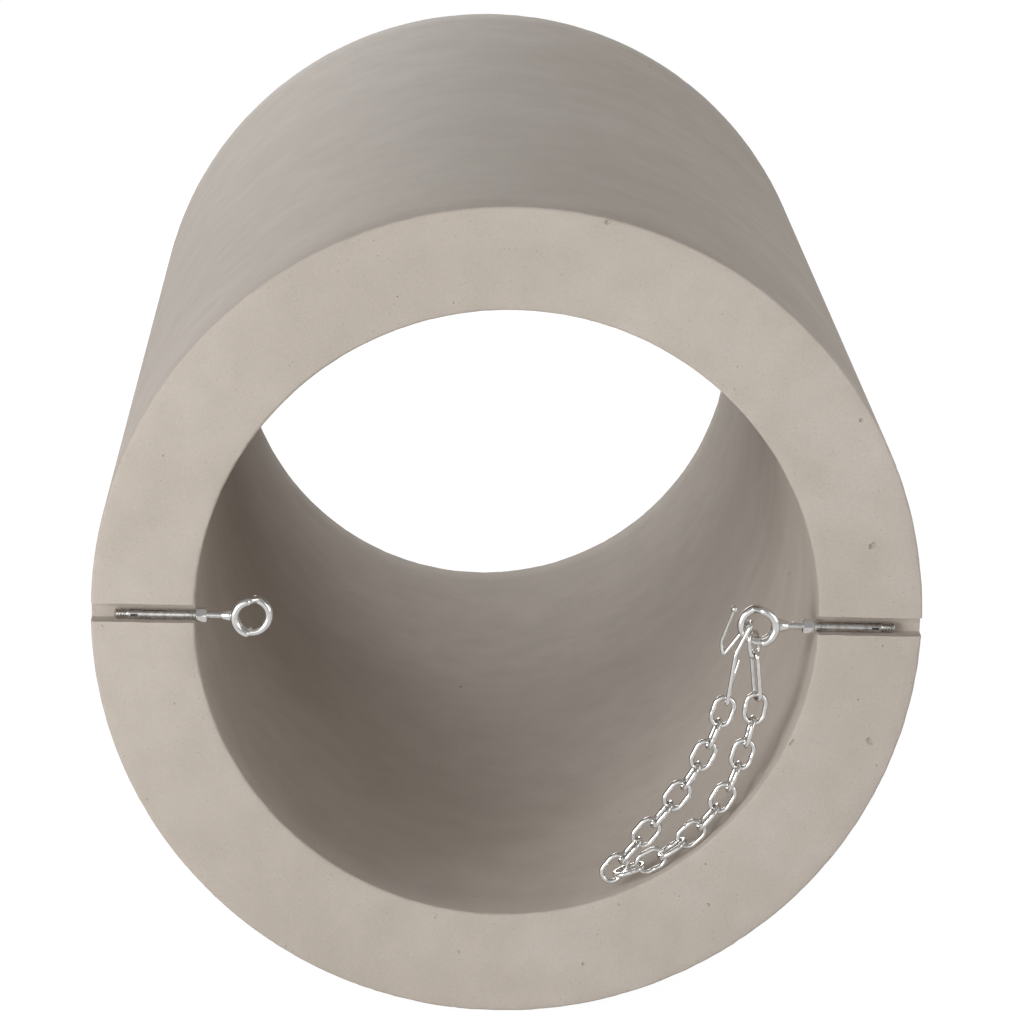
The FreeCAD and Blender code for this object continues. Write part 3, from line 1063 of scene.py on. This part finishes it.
@dataclass
class HangingChain:
    """The chain, the two links that reach the eye, and the hook on the free end."""

    link: LinkShape
    eye_link: LinkShape
    long_link: LinkShape
    hook_rod: float = 4.4 * MM
    hook_ball: float = 7.0 * MM
    hook_clearance: float = 1.0 * MM
    bend: float = 6.0 * MM
    bend_share: float = 0.4
    through: float = 6.0 * MM
    tip_arm: float = 37.0 * MM
    tip_lean: float = 18.0
    guard_arm: float = 14.0 * MM
    guard_lean: float = -10.0
    back_arm: float = 42.0 * MM
    back_lean: float = 36.0
    front_arm: float = 31.0 * MM
    front_lean: float = 26.0
    return_arm: float = 44.0 * MM
    return_lean: float = 15.0
    end_share: float = 0.7
    taper_points: int = 6
    link_count: int = 19

    @staticmethod
    def far_arm(arms: Sequence[Vector]) -> Vector:
        """Direction to the middle of the points that lie furthest out.

        Args:
            arms: Points measured from the middle of a link.

        Returns:
            A unit direction.
        """
        longest = max(arms, key=lambda arm: arm.length)
        close = [arm for arm in arms if arm.dot(longest) > 0.97 * longest.length_squared]
        return sum(close, Vector()).normalized()

    def place_like(self, node: str) -> Matrix:
        """Find how a link lies from its CAD solid's own mesh.

        Args:
            node: The CAD node's name.

        Returns:
            A place whose X runs along the link and Z is square to its plane.
        """
        low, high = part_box(node)
        centre = (low + high) / 2
        arms = [vertex.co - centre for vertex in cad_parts[node].data.vertices]
        along = self.far_arm(arms)
        across = self.far_arm([arm - along * arm.dot(along) for arm in arms])
        normal = along.cross(across).normalized()
        turn = Matrix((along, normal.cross(along), normal)).transposed().to_4x4()
        return Matrix.Translation(centre) @ turn

    def hang(self, node: str, shape: LinkShape, flip: bool, finishes: Finishes) -> None:
        """Bend one link and hang it where its CAD solid is."""
        piece = shape.bend(node + "_bent")
        place = self.place_like(node)
        if flip:
            place = place @ Matrix.Rotation(math.pi, 4, "X")
        settle(piece, place)
        smooth(piece, 60.0)
        dress(piece, finishes.polished, "stainless", node)

    def foot(self) -> Vector:
        """Place of the hook's foot, under the top bow of the first link."""
        place = self.place_like("chain_link_01")
        along = place.to_3x3().col[0]
        up = along if along.z > 0 else -along
        contact = place.translation + up * self.link.inner_length / 2
        return contact - Vector((0.0, 0.0, self.hook_rod / 2 + self.hook_clearance))

    def hook_corners(self) -> list[Vector]:
        """Corners of the hook: guard arm, back arm, through the eye, front arm, foot, return arm."""
        eye = EyeAnchor(Side.RIGHT)
        half = self.hook_rod / 2 + self.hook_clearance
        past_eye = Vector((0.0, eye.eye_bar / 2 + half, 0.0))
        past_link = Vector((0.0, self.link.rod / 2 + half, 0.0))
        through = eye.centre() + Vector((-self.through, 0.0, self.through / 2))
        beside = downhill(self.back_lean) * (self.through / 2)
        foot = self.foot()
        behind = through + beside + past_eye
        corner = behind + downhill(self.back_lean) * self.back_arm
        guard = corner - downhill(self.guard_lean) * self.guard_arm
        tip = guard - downhill(self.tip_lean) * self.tip_arm - past_eye
        front = through + beside - past_eye
        knee = front + downhill(self.front_lean) * self.front_arm
        end = foot + past_link - downhill(self.return_lean) * self.return_arm
        return [tip, guard, corner, behind, through, front, knee, foot - past_link, foot + past_link, end]

    def hook_line(self, steps: int = 4) -> list[Vector]:
        """Points along the hook, bent round each inner corner.

        Args:
            steps: Points per bend.

        Returns:
            The bar's centreline from the tip on.
        """
        corners = self.hook_corners()
        points = [corners[0]]
        for before, corner, after in zip(corners, corners[1:], corners[2:]):
            towards, onwards = before - corner, after - corner
            reach = min(self.bend, towards.length * self.bend_share, onwards.length * self.bend_share)
            start = corner + towards.normalized() * reach
            end = corner + onwards.normalized() * reach
            for step in range(steps + 1):
                share = step / steps
                middle = corner * (2 * share * (1 - share))
                points.append(start * (1 - share) ** 2 + middle + end * share ** 2)
        return points + [corners[-1]]

    def hook(self) -> bpy.types.Object:
        """Bend the hook, thinner towards its two ends, and set the ball on its tip."""
        points = self.hook_line()
        last = len(points) - 1
        radii = []
        for index in range(len(points)):
            from_end = min(index, last - index) / self.taper_points
            radii.append(self.hook_rod / 2 * min(1.0, self.end_share + (1.0 - self.end_share) * from_end))
        bar = bar_along("chain_hook_bent", points, radii, 4)
        deselect_all()
        bpy.ops.mesh.primitive_uv_sphere_add(segments=24, ring_count=14, radius=self.hook_ball / 2)
        ball = settle(bpy.context.object)
        settle(ball, Matrix.Translation(points[0]))
        return join("chain_hook_bent", [bar, ball])

    def build(self, finishes: Finishes) -> None:
        """Make and dress every link and the hook."""
        for number in range(1, self.link_count + 1):
            self.hang("chain_link_%02d" % number, self.link, number % 3 == 0, finishes)
        self.hang("eye_link", self.eye_link, False, finishes)
        self.hang("long_link", self.long_link, False, finishes)
        hook = self.hook()
        smooth(hook, 50.0)
        dress(hook, finishes.polished, "stainless", "chain_hook")


# ------------------------------------------------------------------ studio


@dataclass(frozen=True)
class Lamp:
    """One soft box: where it stands, what it faces, its size and strength."""

    name: str
    place: tuple[float, float, float]
    target: tuple[float, float, float]
    size: tuple[float, float]
    share: float
    tone: tuple[float, float, float] = (1.0, 1.0, 1.0)

    def hang(self) -> None:
        """Put the lamp in the scene."""
        deselect_all()
        bpy.ops.object.light_add(type="AREA", location=self.place)
        lamp = bpy.context.object
        lamp.name = self.name
        lamp.data.shape = "RECTANGLE"
        lamp.data.size, lamp.data.size_y = self.size
        lamp.data.energy = KEY_WATTS * self.share
        lamp.data.color = self.tone
        aim = Vector(self.target) - Vector(self.place)
        lamp.rotation_euler = aim.to_track_quat("-Z", "Y").to_euler()


@dataclass
class Studio:
    """White floor, white surroundings, soft lamps and the camera."""

    lens: float = 168.4
    distance: float = 4.58
    aim_side: float = 0.002
    aim_rise: float = 0.104
    heading: float = 1.55
    pitch: float = 13.6
    roll: float = 1.46
    world_light: float = 0.35
    gloss_light: float = 0.3
    lamps: Sequence[Lamp] = field(default_factory=tuple)

    def white_seen(self, nodes: NodeHelper) -> bpy.types.NodeSocket:
        """Mask that is 1 for rays from the camera and through glass, and less for gloss."""
        path = nodes.add("LightPath")
        seen = nodes.maths("MAXIMUM", path.outputs["Is Camera Ray"], path.outputs["Is Transmission Ray"])
        gloss = nodes.maths("MULTIPLY", path.outputs["Is Glossy Ray"], self.gloss_light)
        return nodes.maths("MAXIMUM", seen, gloss)

    def surround(self) -> None:
        """White world to look at, softer light from it."""
        world = bpy.data.worlds.new("White surround")
        bpy.context.scene.world = world
        world.use_nodes = True
        nodes = NodeHelper(world.node_tree)
        background = world.node_tree.nodes["Background"]
        strength = nodes.maths("MAXIMUM", self.white_seen(nodes), self.world_light)
        world.node_tree.links.new(strength, background.inputs["Strength"])
        background.inputs["Color"].default_value = (1.0, 1.0, 1.0, 1.0)

    def floor(self) -> None:
        """Pale floor that reads as white and keeps a faint shadow."""
        deselect_all()
        bpy.ops.mesh.primitive_plane_add(size=60.0, location=(0.0, 0.0, -0.2 * MM))
        floor = bpy.context.object
        floor.name = "studio_floor"
        material = bpy.data.materials.new("White floor")
        material.use_nodes = True
        tree = material.node_tree
        nodes = NodeHelper(tree)
        tree.nodes.remove(tree.nodes["Principled BSDF"])
        matt = nodes.add("BsdfDiffuse", Color=(0.82, 0.82, 0.82, 1.0))
        glow = nodes.add("Emission", Color=(1.0, 1.0, 1.0, 1.0), Strength=1.08)
        share = nodes.maths("MULTIPLY", self.white_seen(nodes), 0.90)
        mix = nodes.add("MixShader")
        tree.links.new(share, mix.inputs[0])
        tree.links.new(matt.outputs[0], mix.inputs[1])
        tree.links.new(glow.outputs[0], mix.inputs[2])
        tree.links.new(mix.outputs[0], tree.nodes["Material Output"].inputs["Surface"])
        floor.data.materials.append(material)

    def camera(self) -> None:
        """Camera in front of the grooved end, a little left of it and looking down."""
        deselect_all()
        bpy.ops.object.camera_add()
        camera = bpy.context.object
        camera.data.lens = self.lens
        camera.data.sensor_width = 36.0
        camera.data.clip_end = 200.0
        low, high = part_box("manhole_section")
        target = Vector((self.aim_side, low.y, (low.z + high.z) / 2 + self.aim_rise))
        turn = Matrix.Rotation(math.radians(-self.heading), 4, "Z")
        turn = turn @ Matrix.Rotation(math.radians(90.0 - self.pitch), 4, "X")
        turn = turn @ Matrix.Rotation(math.radians(self.roll), 4, "Z")
        place = target + turn.to_3x3().col[2] * self.distance
        camera.matrix_world = Matrix.Translation(place) @ turn
        bpy.context.scene.camera = camera

    def build(self) -> None:
        """Set up everything round the object."""
        bpy.context.scene.view_settings.view_transform = "Standard"
        self.camera()
        self.surround()
        self.floor()
        for lamp in self.lamps:
            lamp.hang()


KEY_WATTS = 120.0
AIM = (0.0, -0.3, 0.4)
LAMPS = (
    Lamp("key_left_low", (-3.0, -3.8, 1.1), AIM, (2.2, 2.0), 1.0),
    Lamp("front_low", (-0.8, -5.0, 1.0), AIM, (2.0, 2.0), 0.1),
    Lamp("fill_right_front", (3.0, -3.6, 1.4), AIM, (1.6, 2.2), 0.2),
    Lamp("side_right", (4.5, -0.5, 1.6), AIM, (2.0, 2.0), 0.3),
    Lamp("back_through_bore", (-1.0, 4.4, 1.8), AIM, (2.0, 2.0), 1.0),
)


def main() -> None:
    """Build the studio and every piece of the manhole section."""
    logging.basicConfig(level=logging.INFO, format="%(message)s")
    finishes = Finishes.build()
    Studio(lamps=LAMPS).build()
    low, high = (Vector(corner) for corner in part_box("manhole_section"))
    CastSection(low, high).build(finishes)
    for side in Side:
        EyeAnchor(side).build(finishes)
    HangingChain(
        link=LinkShape(5.0 * MM, 24.1 * MM, 24.0 * MM),
        eye_link=LinkShape(4.4 * MM, 21.0 * MM, 20.0 * MM, weld=False),
        long_link=LinkShape(4.4 * MM, 43.4 * MM, 16.4 * MM, weld=False),
    ).build(finishes)


if __name__ == "__main__":
    main()
